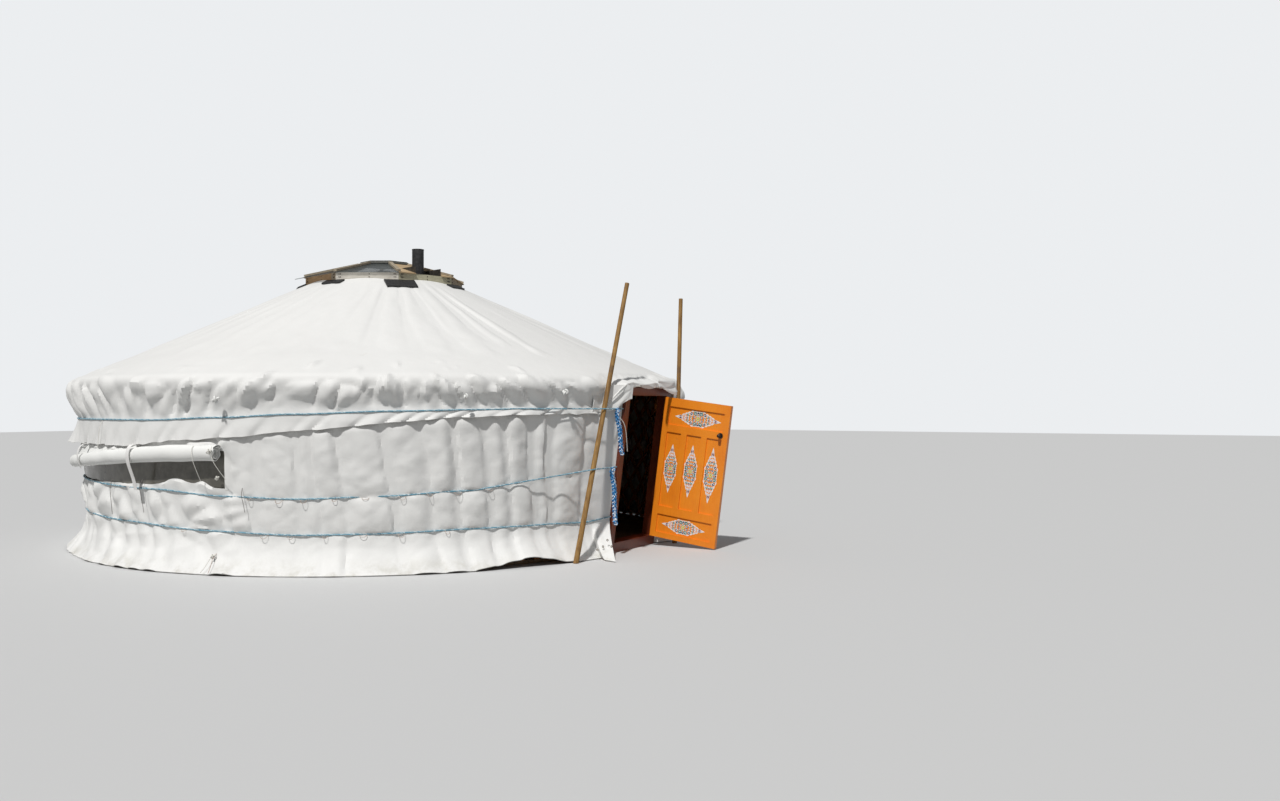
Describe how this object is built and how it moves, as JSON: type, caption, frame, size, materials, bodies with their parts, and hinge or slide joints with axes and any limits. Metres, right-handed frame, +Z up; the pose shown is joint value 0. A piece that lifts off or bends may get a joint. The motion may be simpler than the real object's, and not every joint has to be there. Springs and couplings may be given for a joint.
{
  "type": "yurt",
  "caption": "Round canvas yurt on a lattice wall, with poles, a timber crown box, a stove flue, a side window and one painted door that swings outwards.",
  "frame": {"origin": "on the yurt's upright axis at ground level, in the middle of the floor's underside", "axes": "+Z up; the door faces -Y; +X is to the right of somebody who looks at the door from outside"},
  "size_m": [5.9139, 6.6054, 2.838],
  "materials": {
    "canvas": "matt white canvas over felt",
    "flap_canvas": "matt white canvas, rolled",
    "clear_sheet": "clear flexible sheet, slightly smoky",
    "lattice_wood": "orange-brown painted wood",
    "pole_wood": "orange-brown painted wood",
    "floor_board": "worn floor boards",
    "weathered_board": "weathered grey-brown softwood",
    "clear_panel": "clear rigid sheet",
    "plywood": "weathered plywood",
    "batten_wood": "weathered battens",
    "roof_felt": "dark weathered sheet",
    "rubber_sheet": "black rubber sheet",
    "black_steel": "matt black stove pipe",
    "dark_metal": "dark sheet metal",
    "bare_pole": "bare peeled pole",
    "red_paint": "dark red painted wood",
    "orange_paint": "orange painted wood",
    "black_knob": "black knob",
    "hinge_steel": "dull steel",
    "blue_rope": "pale blue laid rope"
  },
  "bodies": {
    "yurt": {"crown_boards": "weathered_board", "crown_cap": "roof_felt", "crown_hips": "batten_wood", "crown_pads": "rubber_sheet", "crown_panes": "clear_panel", "crown_ply": "plywood", "crown_ring": "pole_wood", "crown_spokes": "pole_wood", "door_jamb_left": "red_paint", "door_jamb_right": "red_paint", "door_lintel": "red_paint", "door_pole_left": "bare_pole", "door_pole_right": "bare_pole", "door_threshold": "red_paint", "floor_deck": "floor_board", "flue_flashing": "dark_metal", "flue_pipe": "black_steel", "frame_hinges": "hinge_steel", "lattice_wall_1": "lattice_wood", "lattice_wall_2": "lattice_wood", "lattice_wall_3": "lattice_wood", "lattice_wall_4": "lattice_wood", "lattice_wall_5": "lattice_wood", "roof_cover_1": "canvas", "roof_cover_2": "canvas", "roof_cover_3": "canvas", "roof_cover_4": "canvas", "roof_cover_5": "canvas", "roof_cover_6": "canvas", "roof_poles": "pole_wood", "rope_hank_lower": "blue_rope", "rope_hank_upper": "blue_rope", "rope_low": "blue_rope", "rope_middle": "blue_rope", "rope_top": "blue_rope", "wall_cover_1": "canvas", "wall_cover_2": "canvas", "wall_cover_3": "canvas", "wall_cover_4": "canvas", "wall_cover_5": "canvas", "wall_cover_6": "canvas", "window_pane": "clear_sheet", "window_roll": "flap_canvas"},
    "door_leaf": {"leaf_frame": "orange_paint", "leaf_panels": "orange_paint", "leaf_latch": "black_knob", "leaf_hinges": "hinge_steel"}
  },
  "joints": [
    {"name": "door", "type": "hinge", "parent": "yurt", "child": "door_leaf", "pos_m": [0.335, -2.90496, 0.7245], "axis": [0, -0.1305, 0.9914], "range_deg": [-90, 22]}
  ]
}
